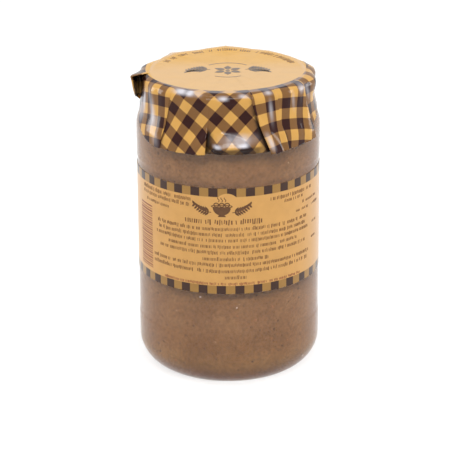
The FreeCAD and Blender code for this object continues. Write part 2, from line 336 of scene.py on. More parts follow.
# Light passes through the glass to what lies inside, where it is only a little dimmed.
clear_glass, tree, pressed = finish("clear_glass", 0.02, sockets={
    "Base Color": (0.985, 0.992, 0.987), "Transmission Weight": 1.0, "IOR": 1.5,
})
fill(pressed, {"Normal": relief(clouds(tree, 55, 1), 0.08, 0.0006)})
fill(tree.nodes["Material Output"], {"Surface": add(tree, "MixShader", {
    0: add(tree, "LightPath", out="Is Shadow Ray"),
    1: Flow(pressed),
    2: add(tree, "BsdfTransparent", {"Color": (0.93, 0.94, 0.935)}),
})})
place_piece("jar_glass", turned_mesh(jar_outline, AROUND_GLASS), clear_glass, "jar_glass", "jar")

# --- soup
# Smooth lobster bisque, filled against the glass all round, with a low meniscus where its
# surface meets the wall inside the shoulder. Toward the foot it is tinted warmer, and at the
# foot it is darkened by painted shade.

soup_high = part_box("bisque")[1]
INTO_GLASS = 0.06 * MM
MENISCUS = 0.7 * MM
MENISCUS_STEP = 0.6 * MM
MENISCUS_FALL = 0.9
AROUND_SOUP = 192
SOUP_DEEP = (0.192, 0.083, 0.027)
SOUP_BROWN = (0.224, 0.103, 0.037)
SOUP_PALE = (0.262, 0.128, 0.05)
# Height in metres and tint; the dark tint at the foot is painted shade.
FOOT_TINTS_AND_SHADE = (
    (0, (0.77, 0.53, 0.2)), (4.5 * MM, (0.77, 0.53, 0.2)), (10 * MM, (1.0, 0.99, 0.78)),
    (18 * MM, (0.89, 0.83, 0.68)), (30 * MM, WHITE),
)

heel_head = FLOOR_GLASS + INNER_HEEL
soup_outline = [(r, h - INTO_GLASS) for r, h in dished(INNER_FOOT, FLOOR_GLASS, FLOOR_CROWN, 8)]
soup_outline += bend(INNER_FOOT, heel_head, INNER_HEEL + INTO_GLASS, -90, 0, 12)[1:]
soup_outline += [
    (INNER_RADIUS + INTO_GLASS, heel_head + (SHOULDER_FOOT - heel_head) * (step / 12))
    for step in range(1, 12)
]
soup_turn = math.degrees(math.asin((soup_high.z - SHOULDER_FOOT) / (SHOULDER - GLASS)))
soup_outline += bend(SHOULDER_AXIS, SHOULDER_FOOT, SHOULDER - GLASS + INTO_GLASS, 0, soup_turn, 8)
wall_radius, wall_height = soup_outline[-1]
for step in range(1, 7):
    fallen = MENISCUS * (1 - math.exp(-step * MENISCUS_FALL))
    soup_outline.append((wall_radius - step * MENISCUS_STEP, wall_height - fallen))
soup_outline.append((0, wall_height - MENISCUS))


def ranged(value, from_low, from_high, to_low, to_high):
    """The value carried from one range into another."""
    limits = (value, from_low, from_high, to_low, to_high)
    return add(value.tree, "MapRange", dict(enumerate(limits)))


def toned(value, stops, between="LINEAR"):
    """A colour for every value, given at some values between 0 and 1."""
    ramp = add(value.tree, "ValToRGB", {"Fac": value})
    colours = ramp.node.color_ramp
    colours.interpolation = between
    for stop, (position, colour) in zip(colours.elements, (stops[0], stops[-1])):
        stop.position, stop.color = position, (*colour, 1)
    for position, colour in stops[1:-1]:
        colours.elements.new(position).color = (*colour, 1)
    return ramp


def mixed(factor, first, second, blend="MIX"):
    """A mix of two colours; each of the three is a flow or a plain value."""
    tree = (factor if isinstance(factor, Flow) else first).tree
    return add(tree, "Mix", {0: factor, 6: first, 7: second}, out=2,
               data_type="RGBA", blend_type=blend)


def times(colour, shade):
    """The colour multiplied by another or by a shade."""
    return mixed(1.0, colour, shade, "MULTIPLY")


def parts(vector):
    """The three numbers of a vector."""
    node = add(vector.tree, "SeparateXYZ", {0: vector}).node
    return [Flow(node, axis) for axis in "XYZ"]


bisque_brown, tree, soup = finish("bisque_brown", 0.6, 0.05, {
    "Subsurface Weight": 0.15,
    "Subsurface Radius": (1.0, 0.5, 0.3), "Subsurface Scale": 0.0015,
})
cloudy = toned(clouds(tree, 60, 6, 0.65), ((0.3, SOUP_DEEP), (0.5, SOUP_BROWN), (0.72, SOUP_PALE)))
grained = times(cloudy, ranged(clouds(tree, 900, 3), 0.3, 0.7, 0.76, 1.22))
upward = parts(add(tree, "TexCoord", out="Object"))[2]
foot_tints_top = FOOT_TINTS_AND_SHADE[-1][0]
# Warmer toward the foot, and darkened at the foot by painted shade.
layers = toned(ranged(upward, 0.0, foot_tints_top, 0.0, 1.0), [
    (height / foot_tints_top, tint) for height, tint in FOOT_TINTS_AND_SHADE
], "EASE")
fill(soup, {"Base Color": times(grained, layers)})
soup_mesh = turned_mesh(soup_outline, AROUND_SOUP)
place_piece("bisque_fill", soup_mesh, bisque_brown, "bisque", "bisque")


def vector(tree, *numbers):
    """A vector of flows or plain numbers."""
    return add(tree, "CombineXYZ", dict(enumerate(numbers)))


def grown_mesh(group, settings, base=None):
    """The mesh that a Geometry Nodes group makes with its named inputs set."""
    carrier = shown("grown", base or bpy.data.meshes.new("grown"))
    growth = carrier.modifiers.new("growth", "NODES")
    growth.node_group = group
    for socket in group.interface.items_tree:
        if socket.item_type == "SOCKET" and socket.name in settings:
            growth[socket.identifier] = settings[socket.name]
    seen = carrier.evaluated_get(bpy.context.evaluated_depsgraph_get())
    result = bpy.data.meshes.new_from_object(seen)
    bpy.data.objects.remove(carrier)
    return result


def node_group(name, **inputs):
    """An empty Geometry Nodes group with the inputs, and what runs out of each of them.

    An input is named by its keyword and typed by its value; None stands for a geometry.
    """
    group = bpy.data.node_groups.new(name, "GeometryNodeTree")
    kinds = {float: "NodeSocketFloat", int: "NodeSocketInt", type(None): "NodeSocketGeometry"}
    group.interface.new_socket("Geometry", in_out="OUTPUT", socket_type="NodeSocketGeometry")
    for title, value in inputs.items():
        socket = group.interface.new_socket(
            title.replace("_", " "), in_out="INPUT", socket_type=kinds[type(value)]
        )
        if value is not None:
            socket.default_value = value
    given = group.nodes.new("NodeGroupInput")
    return group, *[Flow(given, number) for number in range(len(inputs))]


def real_mesh(instances):
    """Ends a Geometry Nodes group: the instances made real and given a material slot."""
    tree = instances.tree
    real = add(tree, "GeometryNodeRealizeInstances", {"Geometry": instances})
    coated = add(tree, "GeometryNodeSetMaterial", {"Geometry": real})
    add(tree, "NodeGroupOutput", {"Geometry": coated})


def random_at(index, seed, low, high, offset):
    """A random number for each fleck or stroke."""
    return add(index.tree, "FunctionNodeRandomValue", {
        "Min": low, "Max": high, "ID": index, "Seed": seed + offset,
    }, out="Value", data_type="FLOAT")


# Flecks of shell, spice and cream lie in the soup's outer layer, each pressed flat against the
# glass. Most have sunk below the label.
FLECK_SKIN = 0.01 * MM
FLECKS_FOOT, FLECKS_HEAD = 6 * MM, 108 * MM
FLECKS_INNER = 30 * MM
AROUND_FLECKED = 96
FLECK_TONES = (
    (0, (0.1, 0.043, 0.016)), (0.35, (0.145, 0.064, 0.022)), (0.72, (0.075, 0.031, 0.013)),
    (0.84, (0.3, 0.105, 0.03)), (0.92, (0.33, 0.185, 0.085)), (0.992, (0.62, 0.47, 0.36)),
)
THINNED = 0.75
MOSTLY_SMALL = 2.6
FLECK_FLAT = 0.3

fleck_group, skin, density, thin_above, smallest, largest, seed = node_group(
    "soup_flecks", Skin=None, Density=90000.0, Thin_Above=0.09, Smallest=0.0001,
    Largest=0.0004, Seed=1,
)
tree = fleck_group
upward = parts(add(tree, "GeometryNodeInputPosition"))[2]
scattered = add(tree, "GeometryNodeDistributePointsOnFaces", {
    "Mesh": skin, "Seed": seed,
    "Density": density * (1.0 - upward.to("GREATER_THAN", thin_above) * THINNED),
})
index = add(tree, "GeometryNodeInputIndex")
size = smallest + random_at(index, seed, 0, 1, 2).to("POWER", MOSTLY_SMALL) * (largest - smallest)
sown = add(tree, "GeometryNodeInstanceOnPoints", {
    "Points": scattered, "Rotation": Flow(scattered.node, "Rotation"),
    "Instance": add(tree, "GeometryNodeMeshIcoSphere", {"Radius": 1.0, "Subdivisions": 1}),
    "Scale": vector(tree, size, size * random_at(index, seed, 0.5, 1.3, 4), size * FLECK_FLAT),
})
real_mesh(add(tree, "GeometryNodeStoreNamedAttribute", {
    "Geometry": sown, "Name": "tone", "Value": random_at(index, seed, 0, 1, 6),
}, domain="INSTANCE"))


def value_of(tree, name):
    """A number stored on the mesh."""
    return add(tree, "Attribute", out="Fac", attribute_name=name)


fleck_colours, tree, surface = finish("fleck_colours", 0.6, 0.05)
fill(surface, {"Base Color": toned(value_of(tree, "tone"), FLECK_TONES, "CONSTANT")})
fleck_mesh = grown_mesh(fleck_group, {
    "Density": 140000.0, "Thin Above": PANEL_HEAD, "Smallest": 0.12 * MM,
    "Largest": 0.62 * MM, "Seed": 5,
}, base=turned_mesh([
    (r + FLECK_SKIN, h) for r, h in soup_outline
    if FLECKS_FOOT < h < FLECKS_HEAD and r > FLECKS_INNER
], AROUND_FLECKED))
place_piece("bisque_flecks", fleck_mesh, fleck_colours, "bisque")

# --- label
# Printed paper wrapped round the panel, its ends apart at the back. Both long edges carry a
# border of dark and tan squares; the middle of the upper one makes way for a small arch.

label_low, label_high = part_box("label")
LABEL_OUTER = label_high.x
LABEL_HALF_WRAP = 165
LABEL_COLUMNS = 300
LABEL_ROWS = 10
BORDER = 3.55 * MM
SQUARE_PITCH = 11.47
SQUARE_SOFT = 0.06
UPPER_DARK = 1.95
LOWER_DARK = -4.8
ARCH_AZIMUTH = -0.9
ARCH_RADIUS = 5 * MM
ARCH_HEIGHT = label_high.z - 7.05 * MM
PRINT_SOFT = 0.06 * MM
PAPER_YELLOW = (0.6, 0.322, 0.098)
PAPER_DARK = (0.047, 0.02, 0.012)
PAPER_TAN = (0.335, 0.178, 0.046)


def arc_at(azimuth):
    """The arc length on the label from its middle to an azimuth in degrees."""
    return radians(azimuth) * LABEL_OUTER


def on_label(arc, height, lift=0):
    """The point of the label at an arc length from its middle, a height and a lift off it."""
    return around(LABEL_OUTER + lift, arc / LABEL_OUTER, height)


shape = bmesh.new()
laid = shape.loops.layers.uv.new("print")
outer, inner = [[[
    shape.verts.new(around(
        radius,
        radians(LABEL_HALF_WRAP * (2 * column / LABEL_COLUMNS - 1)),
        label_low.z + (label_high.z - label_low.z) * row / LABEL_ROWS,
    )) for row in range(LABEL_ROWS + 1)
] for column in range(LABEL_COLUMNS + 1)] for radius in (LABEL_OUTER, PANEL_RADIUS)]
for out, next_out, back, next_back in zip(outer, outer[1:], inner, inner[1:]):
    for row in range(LABEL_ROWS):
        shape.faces.new((out[row], next_out[row], next_out[row + 1], out[row + 1]))
        shape.faces.new((back[row], back[row + 1], next_back[row + 1], next_back[row]))
    for row in (0, LABEL_ROWS):
        shape.faces.new((out[row], back[row], next_back[row], next_out[row]))
for out, back in ((outer[0], inner[0]), (outer[-1], inner[-1])):
    for row in range(LABEL_ROWS):
        shape.faces.new((out[row], back[row], back[row + 1], out[row + 1]))
bmesh.ops.recalc_face_normals(shape, faces=shape.faces)
for face in shape.faces:
    face.smooth = abs(face.normal.z) < 0.5
    for corner in face.loops:
        turn = math.atan2(corner.vert.co.x, -corner.vert.co.y)
        corner[laid].uv = (turn * LABEL_OUTER, corner.vert.co.z)
for edge in shape.edges:
    edge.smooth = edge.calc_face_angle(0) < 0.6
label_mesh = mesh_of(shape)


def beyond(value, threshold, above=True, soft=PRINT_SOFT):
    """1 on one side of the threshold and 0 on the other, with a slightly soft edge."""
    return ranged(value, threshold - soft, threshold + soft, *((0, 1) if above else (1, 0)))


def bars(value, pitch, soft):
    """1 on every second bar and 0 between them; a bar is half a pitch wide."""
    return beyond((value * (2 * pi / pitch)).to("COSINE"), 0.0, soft=soft)


def distance(across, along):
    """How far a place lies from the zero of both."""
    return (across * across + along * along).to("SQRT")


label_paper, tree, paper = finish("label_paper", 0.3, 0.25, {
    "Sheen Weight": 0.35, "Sheen Roughness": 0.35,
})
arc, height = parts(add(tree, "UVMap", uv_map="print"))[:2]
upper_border = beyond(height, label_high.z - BORDER)
lower_border = beyond(height, label_low.z + BORDER, above=False)
lower_squares, upper_squares = [
    bars(arc - arc_at(dark), arc_at(SQUARE_PITCH), SQUARE_SOFT)
    for dark in (LOWER_DARK, UPPER_DARK)
]
squares = mixed(upper_border, lower_squares, upper_squares)
outside_arch = beyond(distance(arc - arc_at(ARCH_AZIMUTH), height - ARCH_HEIGHT), ARCH_RADIUS)
in_border = upper_border.to("MAXIMUM", lower_border) * outside_arch
printed = mixed(in_border, PAPER_YELLOW, mixed(squares, PAPER_TAN, PAPER_DARK))
fibres = clouds(tree, 240, 5)
fill(paper, {
    "Base Color": times(printed, ranged(fibres, 0, 1, 0.9, 1.08)),
    "Normal": relief(fibres, 0.12, 0.0001),
})
place_piece("label_sheet", label_mesh, label_paper, "label_paper", "label")

# --- label print
# Rows of small strokes for lines of print, thin stripes at the left end, and a soup bowl
# between two leafy sprigs. All of it is ink on the paper.

INK_LIFT = 0.05 * MM
WORD_GAPS = 0.15
TALL_STROKES_ABOVE = 0.8
TALLER = 0.38
BIG_STROKE = 1.5
BIG_PITCH = 0.56
SMALL_PITCH = 0.6 * MM
ROWS_ASIDE = 0.8
# Azimuths of the row's ends in degrees, height of its foot and of a stroke in mm.
ROWS = [
    (-66, -24, 83.2, 1.3), (-66, -25, 80.9, 1.2), (-62, -40, 78.1, 1.0),
    (26, 63, 82.7, 1.3), (36, 53, 80.6, 1.1), (52, 70, 77.7, 0.9), (45, 59, 74.7, 0.9),
    (62, 73, 74.7, 0.9), (-28, 22, 74.2, 1.7), (-50, 57, 71.2, 1.2), (-49, 55, 68.7, 1.2),
    (-52, 60, 66.3, 1.2), (-41, 47, 63.6, 1.2), (-48, 55, 61.0, 1.2), (-17, 25, 58.2, 1.2),
    (-54, 60, 55.7, 1.2), (-54, 58, 53.0, 1.2), (-3, 11, 50.3, 1.2), (64, 72, 66.8, 0.9),
    (63, 70, 60.2, 0.9),
]
BOWL_WIDE = 22.8 * MM
BOWL_UNITS = 22
BOWL_AZIMUTH = -4.2
BOWL_HEIGHT = 80.4 * MM
# The stripes, one over the other, in degrees and millimetres.
STRIPES_FOOT, STRIPES_HEAD = 48.6, 75.5
STRIPES_START, STRIPE_PARTS, STRIPE_PART, STRIPE_LAP = -70, 6, 2.4, 0.02
STRIPE_THICK = (0.34, 0.55, 0.3, 0.42, 0.7)
STRIPE_GAPS = (0.5, 0.72, 0.42, 0.58)


def joined_mesh(meshes):
    """One mesh made of several."""
    shape = bmesh.new()
    for mesh in meshes:
        shape.from_mesh(mesh)
    return mesh_of(shape)


# A row of strokes round an upright cylinder, or flat on a disc, broken into words.
stroke_row, start, end, height, radius, tall, pitch, lying, seed = node_group(
    "stroke_row", From=-0.02, To=0.02, Height=0.06, Radius=0.038, Tall=0.00125,
    Pitch=0.0006, Lying=0.0, Seed=1,
)
tree = stroke_row
line = add(tree, "GeometryNodeMeshLine", {"Count": ((end - start) / pitch).to("FLOOR")})
index = add(tree, "GeometryNodeInputIndex")
turn = ((index + random_at(index, seed, -0.12, 0.12, 3)) * pitch + start) / radius
tall_one = random_at(index, seed, 0, 1, 5).to("GREATER_THAN", TALL_STROKES_ABOVE)
stroke_tall = tall * (tall_one * TALLER + 1.0)
placed = add(tree, "GeometryNodeSetPosition", {
    "Geometry": add(tree, "GeometryNodeMeshToPoints", {"Mesh": line}),
    "Position": vector(
        tree, radius * turn.to("SINE"), radius * (turn.to("COSINE") * -1.0),
        height + (stroke_tall - tall) * (0.5 - lying * 0.5),
    ),
})
in_words = add(tree, "GeometryNodeDeleteGeometry", {
    "Geometry": placed, "Selection": random_at(index, seed, 0, 1, 11).to("LESS_THAN", WORD_GAPS),
}, domain="POINT")
real_mesh(add(tree, "GeometryNodeInstanceOnPoints", {
    "Points": in_words, "Instance": add(tree, "GeometryNodeMeshCube", {"Size": (1, 1, 1)}),
    "Rotation": vector(tree, lying * (-pi / 2), random_at(index, seed, -0.1, 0.1, 7), turn),
    "Scale": vector(tree, pitch * random_at(index, seed, 0.3, 0.62, 9), 2 * INK_LIFT, stroke_tall),
}))


def row_mesh(radius, start, end, height, tall, pitch, seed, lying=0.0):
    """A row of strokes between two azimuths in degrees."""
    return grown_mesh(stroke_row, {
        "From": radians(start) * radius, "To": radians(end) * radius,
        "Height": height, "Radius": radius, "Tall": tall, "Pitch": pitch, "Lying": lying,
        "Seed": seed,
    })


def ink(name, colour, worn):
    """Printing ink, uneven as thin ink is."""
    material, tree, surface = finish(name, 0.4, 0.25)
    fill(surface, {"Base Color": mixed(clouds(tree, 700), colour, worn)})
    return material


def leaf(across, upward, length, width, degrees):
    """The outline of a pointed leaf that grows from a point in a direction."""
    points = []
    turn = radians(degrees)
    for side, steps in ((1, range(6)), (-1, range(6, 0, -1))):
        for step in steps:
            share = step / 6
            out = side * width / 2 * sin(pi * share ** 0.8)
            points.append((
                across + length * share * cos(turn) - out * sin(turn),
                upward + length * share * sin(turn) + out * cos(turn),
            ))
    return points


def stem(points, width):
    """Short overlapping quads along a line of points."""
    outlines = []
    for (x0, y0), (x1, y1) in zip(points, points[1:]):
        run = math.hypot(x1 - x0, y1 - y0)
        nx, ny = (y0 - y1) / run * width / 2, (x1 - x0) / run * width / 2
        outlines.append([(x0 - nx, y0 - ny), (x1 - nx, y1 - ny), (x1 + nx, y1 + ny),
                         (x0 + nx, y0 + ny)])
    return outlines


def sprigs(points, width, longest, shorter, leaves):
    """Two mirrored stems with leaves, each given by a share of its length, width and angle."""
    outlines = []
    for side in (-1, 1):
        spray = [(side * x, y) for x, y in points]
        outlines += stem(spray, width)
        for step, (x, y) in enumerate(spray[1:]):
            for share, wide, degrees in leaves:
                outlines.append(leaf(
                    x, y, (longest - shorter * step) * share, wide,
                    degrees if side == 1 else 180 - degrees,
                ))
    return outlines


def printed_mesh(outlines, unit, onto):
    """Each convex outline as a thin closed patch, placed by onto(across, upward, lift)."""
    shape = bmesh.new()
    for outline in outlines:
        front, back = [
            [shape.verts.new(onto(x * unit, y * unit, lift)) for x, y in outline]
            for lift in (INK_LIFT, -INK_LIFT)
        ]
        shape.faces.new(front)
        shape.faces.new(back[::-1])
        for step in range(len(outline)):
            after = (step + 1) % len(outline)
            shape.faces.new((front[step], back[step], back[after], front[after]))
    bmesh.ops.recalc_face_normals(shape, faces=shape.faces)
    return mesh_of(shape)


rows = [
    row_mesh(
        LABEL_OUTER, start + ROWS_ASIDE, end + ROWS_ASIDE, foot * MM, tall * MM,
        BIG_PITCH * tall * MM if tall > BIG_STROKE else SMALL_PITCH, number * 17 + 3,
    )
    for number, (start, end, foot, tall) in enumerate(ROWS)
]
soft_ink = ink("soft_ink", (0.12, 0.05, 0.019), (0.2, 0.09, 0.034))
place_piece("label_rows", joined_mesh(rows), soft_ink, "label_paper")

# A full bowl on its foot, with its rim, three pieces in the soup and steam over it.
belly = arc_points(0, 0, 3.5, 3.1, -172, -8, 9)
bowl = [
    [(x0, y0), (x1, y1), (x1, 0.35), (x0, 0.35)] for (x0, y0), (x1, y1) in zip(belly, belly[1:])
]
bowl += stem(arc_points(0, 0.6, 4.1, 0.6, 0, 360, 20), 0.32)
bowl.append([(-1.6, -3.7), (1.6, -3.7), (1.2, -3.0), (-1.2, -3.0)])
for middle in (-2.1, 0, 2.1):
    bowl += stem(arc_points(middle, 1.2, 0.95, 0.8, 0, 360, 12), 0.42)
for middle in (-1.3, 0, 1.3):
    bowl += stem([(middle + 0.35 * sin(step * 1.1), 2.5 + 0.36 * step) for step in range(6)], 0.3)
bowl += sprigs(
    [(4.1 + 0.95 * step, -1.9 + 0.055 * step ** 2) for step in range(8)],
    0.3, 2.7, 0.15, ((1, 0.95, 56), (0.85, 0.85, -42)),
)
bowl_mesh = printed_mesh(
    bowl, BOWL_WIDE / BOWL_UNITS,
    lambda x, y, lift: on_label(x + arc_at(BOWL_AZIMUTH), y + BOWL_HEIGHT, lift),
)
brown_ink = ink("brown_ink", (0.085, 0.036, 0.015), (0.16, 0.074, 0.03))
place_piece("label_bowl", bowl_mesh, brown_ink, "label_paper")

stripes, foot, number = [], STRIPES_FOOT, 0
while foot < STRIPES_HEAD:
    head = foot + STRIPE_THICK[number % len(STRIPE_THICK)]
    for part in range(STRIPE_PARTS):
        left = arc_at(STRIPES_START + part * STRIPE_PART) / MM
        right = arc_at(STRIPES_START + (part + 1) * STRIPE_PART + STRIPE_LAP) / MM
        stripes.append([(left, foot), (right, foot), (right, head), (left, head)])
    foot = head + STRIPE_GAPS[number % len(STRIPE_GAPS)]
    number += 1
red_marks = joined_mesh([
    row_mesh(LABEL_OUTER, -43.5, 51.5, 47.55 * MM, 0.95 * MM, 0.58 * MM, 91),
    printed_mesh(stripes, MM, on_label),
])
red_ink = ink("red_ink", (0.19, 0.052, 0.028), (0.3, 0.1, 0.045))
place_piece("label_red_marks", red_marks, red_ink, "label_paper")

# --- lid
# Pressed tinplate, gold lacquered and screwed down on the neck. It stays as the frame holds
# it, under the cover.

lid_lacquer, tree, tin = finish("lid_lacquer", 0.3, sockets={"Metallic": 1.0})
fill(tin, {"Base Color": mixed(clouds(tree, 90), (0.62, 0.42, 0.15), (0.78, 0.57, 0.24))})
for slot in bpy.data.objects["lid"].material_slots:
    slot.material = lid_lacquer

# --- cover
# A round of glossy printed film, plain yellow over the lid and brown gingham where it hangs.
# It is turned over the lid's edge and gathered into flat folds, some from the edge down and
# some only near the hem. Nothing but the folds holds it in.

cover_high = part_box("cover")[1]
FILM_THICK = 0.12 * MM
FILM_TOP = cover_high.z - FILM_THICK - 0.1 * MM
DISC_RADIUS = 31.6 * MM
DISC_SAG = 0.12 * MM
CORNER = 3.3 * MM
TURN_HEIGHT = FILM_TOP - CORNER
PANEL_COLUMNS = 22
SKIRT_ROWS = 48
CORNER_ROWS = 10
DISC_ROWS = 10
WEAVE_TURN = 0.42
WEAVE_RADIUS = 35 * MM / WEAVE_TURN
WEAVE_FALL = 1.03
LEFT, RIGHT = 1, -1

# Each fold: azimuth of its edge at the lid and at the hem, where it begins (0 at the lid's
# edge, 1 at the hem, below 0 if it is open at the lid already), the side on top, and in
# mm the width hidden at the hem, the top layer's stand-off at the lid and at the hem, and how
# far round that spreads. Last, by what share more the free edge stands off.
FOLDS = [
    (-84, -83, -5, LEFT, 7, 4.7, 3, 7, 0.6),
    (-41.5, -45.5, 0, LEFT, 2.5, 0.15, 0.6, 5, 0.2),
    (-13, -13.7, 0.42, LEFT, 5, 0, 2.9, 5, 0.6),
    (15.8, 25.4, 0, RIGHT, 5, 0.4, 2.5, 4, 0.6),
    (34.3, 38, 0.45, LEFT, 3.2, 0, 1, 3, 0.3),
    (61, 63.6, 0, LEFT, 4, 0.3, 1.2, 3, 0.4),
    (113, 112, 0, RIGHT, 4.5, 0.5, 0.8, 6, 0.3),
    (130, 128, 0.2, RIGHT, 4, 0, 1.2, 5, 0.4),
    (149, 153, 0, LEFT, 4, 0.6, 1.6, 6, 0.4),
    (181, 184, 0, RIGHT, 5, 1, 2, 7, 0.4),
    (206, 205, 0.4, LEFT, 4.5, 0, 1.6, 4, 0.5),
    (222, 225, 0, LEFT, 4.5, 0.6, 1.3, 5, 0.3),
    (245, 243, 0.1, RIGHT, 4, 0, 1.2, 5, 0.3),
]
# The panel to the right of each fold: heights of its hem at the left end, middle and right
# end, then the weave: its lean, the azimuth where it leans so, and azimuth and height of the
# middle of one dark square.
PANELS = [
    ((113.5, 104.4, 102.5), (4, -50, -48.5, 120.8)),
    ((102.4, 102.3, 103.6), (-36.5, -14.6, -18.8, 122.1)),
    ((103.4, 103.2, 103.2), (-36.5, -14.6, -18.8, 122.1)),
    ((102.8, 102.5, 102.5), (4, 28, 28.7, 120.6)),
    ((102.5, 102.7, 103.6), (-10.6, 49.4, 27.1, 121.3)),
    ((108, 111.2, 112), (-6, 80, 66, 123)),
    ((106.5, 103.2, 102.4), (-8, 122, 120, 113)),
    ((102.4, 102.2, 102.8), (-38, 138, 136, 115)),
    ((104.4, 104.9, 104.4), (-42, 166, 168, 112)),
    ((102.6, 102.2, 102.4), (-6, 194, 198, 114)),
    ((102.5, 102.3, 102.8), (-30, 214, 212, 116)),
    ((103, 103.8, 104.6), (-12, 236, 234, 113)),
    ((106, 112.5, 118.6), (-4, 262, 269, 125.2)),
]
# Blunt corners where the film stands off the lid's edge: azimuth and half width in degrees,
# then how far out and up in mm.
EDGE_CORNERS = [
    (-138, 16, 1.8, 0.7), (181, 20, 2.2, 1.1), (149, 14, 0.9, 0.2), (-107, 15, 2.6, 0.4),
    (104, 14, 2.3, 0.2), (78, 12, 1.5, 0), (-20, 11, 0.5, 0), (-58, 12, 0.4, 0),
]
# Painted sheen: pale places painted on the film where it is stretched or curled and would mirror
# the light: azimuth and height of the middle in degrees and mm, half width and half height, slant
# in degrees per mm, and strength.
PAINTED_SHEENS = [
    (-58, 116, 4.5, 12, -0.41, 0.62), (-71.5, 118, 3.5, 8, -0.4, 0.7), (-50, 105, 6, 4, -0.4, 0.3),
    (-78, 114, 14, 9, -0.3, 0.7), (-30, 126, 15, 1.5, 0, 1.1), (-3.5, 124.9, 5, 1.3, 0, 0.85),
    (10, 125.6, 5, 1, 0, 0.7), (28, 125.8, 5, 1, 0, 0.6), (7, 109, 16, 3.2, 0, 0.6),
    (-6.5, 106.7, 4, 1.2, 0, 1), (8.5, 106.8, 5, 1.2, 0, 0.9), (29, 118, 2.2, 8, -0.1, 0.45),
    (25, 107.5, 3, 5, -0.5, 0.55), (58, 124.6, 5, 3, 0, 0.6), (66, 122, 3.5, 4.5, -0.4, 0.6),
    (48, 121, 2.5, 6, 0, 0.25), (-136, 126, 16, 2, 0, 0.5), (150, 125, 20, 2, 0, 0.4),
    (200, 120, 4, 9, 0.3, 0.4), (100, 118, 4, 9, 0.4, 0.5), (-110, 120, 4, 7, 0, 0.5),
]
# The hem between the third and fourth fold is curled outwards below a slanting crease, and its
# last few millimetres turn in again, where they are painted in shade.
LIP_LEFT = -11
LIP_RIGHT = 23.5
LIP_EASE = (4, 6)
LIP_OUT = 2.8 * MM
LIP_TALL = 6.2 * MM
LIP_CREST = 106.2 * MM
LIP_TURN = 2.6 * MM
LIP_SHADE = 0.75
# The crease's height in millimetres at its highest place, and its fall per degree to each side.
CREASE_HEIGHT, CREASE_AZIMUTH, CREASE_LEFT, CREASE_RIGHT = 112.8, -4, 0.5, 0.27
# Inside of the film at heights down the skirt, where it follows lid, shoulder and body.
DRAPE_HEIGHTS = [102, 104.6, 106.5, 108.5, 111, 114.5, 118, 123]
DRAPE_RADII = [38.35, 38.15, 37.95, 37.45, 36.5, 35.75, 35.3, 34.95]
FILM_REACH = 37 * MM
PER_METRE = math.degrees(1 / FILM_REACH)
# A layer on top casts painted shade on the film beside its edge, the more the further it stands
# off.
SHADE_LEAST = 0.7 * MM
SHADE_REACH = 1.25
SHADE_DEPTH = 1.7
SHADE_FULL = 1.2 * MM
# A fold that stands open wider than this lets some light in: less painted shade inside it.
OPEN_FOLD = 3 * MM
OPEN_SHADE = 0.6
# The widest curl of a fold's two turns, and the step of its path that lies furthest in.
CURL = 0.6 * MM
INMOST = 5
# Puckers at the lid's edge, the looseness of the skirt, and how much a stand-off lifts the film.
PUCKER = 0.5 * MM
HANG = 0.4 * MM
LIFTED = 0.42
# A fold's least hidden width and stand-off in millimetres, and how fast it opens downward.
LEAST_HIDDEN, LEAST_OFF = 0.1, 0.04
PAST_HEM, OPENS_IN, FREE_EDGE = 1.05, 0.25, 1.5
# How much of a corner's lift reaches the flat, and how fast what the edge does fades downward.
CROWN_LIFT, OUT_FADES, UP_FADES, HANG_GROWS = 0.6, 2.2, 1.4, 2
# Painted sheen on the flat of the lid: over its front half, and along the rim at the back.
CROWN_PAINTED_SHEEN, CROWN_REACH = 0.16, 16 * MM
RIM_PAINTED_SHEEN, RIM_FROM, RIM_WIDE = 0.15, 30.2 * MM, 1.4 * MM


def eased(share):
    """A smooth step from 0 to 1."""
    share = min(max(share, 0), 1)
    return share * share * (3 - 2 * share)


def off_azimuth(azimuth, other):
    """The signed angle from other to azimuth, within half a turn."""
    return (azimuth - other + 180) % 360 - 180


def weave_at(weave, azimuth, drop):
    """Where a point of the film lies in the print, in metres from the middle of a dark square."""
    lean, lean_azimuth, dark_azimuth, dark_height = weave

    def flat(azimuth, drop):
        angle = radians(off_azimuth(azimuth, lean_azimuth)) * WEAVE_TURN
        return Vector((sin(angle), cos(angle))) * (WEAVE_RADIUS + drop)

    place = flat(azimuth, drop) - flat(dark_azimuth, TURN_HEIGHT - dark_height * MM)
    return Matrix.Rotation(radians(lean), 2) @ place


def fold_at(fold, fall, closure):
    """A fold at one course: azimuth, side, hidden width, and its stand-off at a distance."""
    lid_azimuth, hem_azimuth, begins, side, hidden, at_lid, at_hem, spread, wedge = fold
    opened = eased((fall - begins) / (PAST_HEM - begins))
    hidden = max(hidden * opened * closure, LEAST_HIDDEN) * MM
    stands = at_lid + (at_hem - at_lid) * fall
    if begins > 0:
        stands *= eased((fall - begins) / OPENS_IN)
    stands = max(stands * closure, LEAST_OFF) * MM

    def stands_off(away):
        held = 1 - wedge * (1 - eased(1 - away / (FREE_EDGE * hidden)))
        return stands * held * eased(1 - max(away - hidden, 0) / (spread * MM))

    return lid_azimuth + (hem_azimuth - lid_azimuth) * fall, side, hidden, stands_off


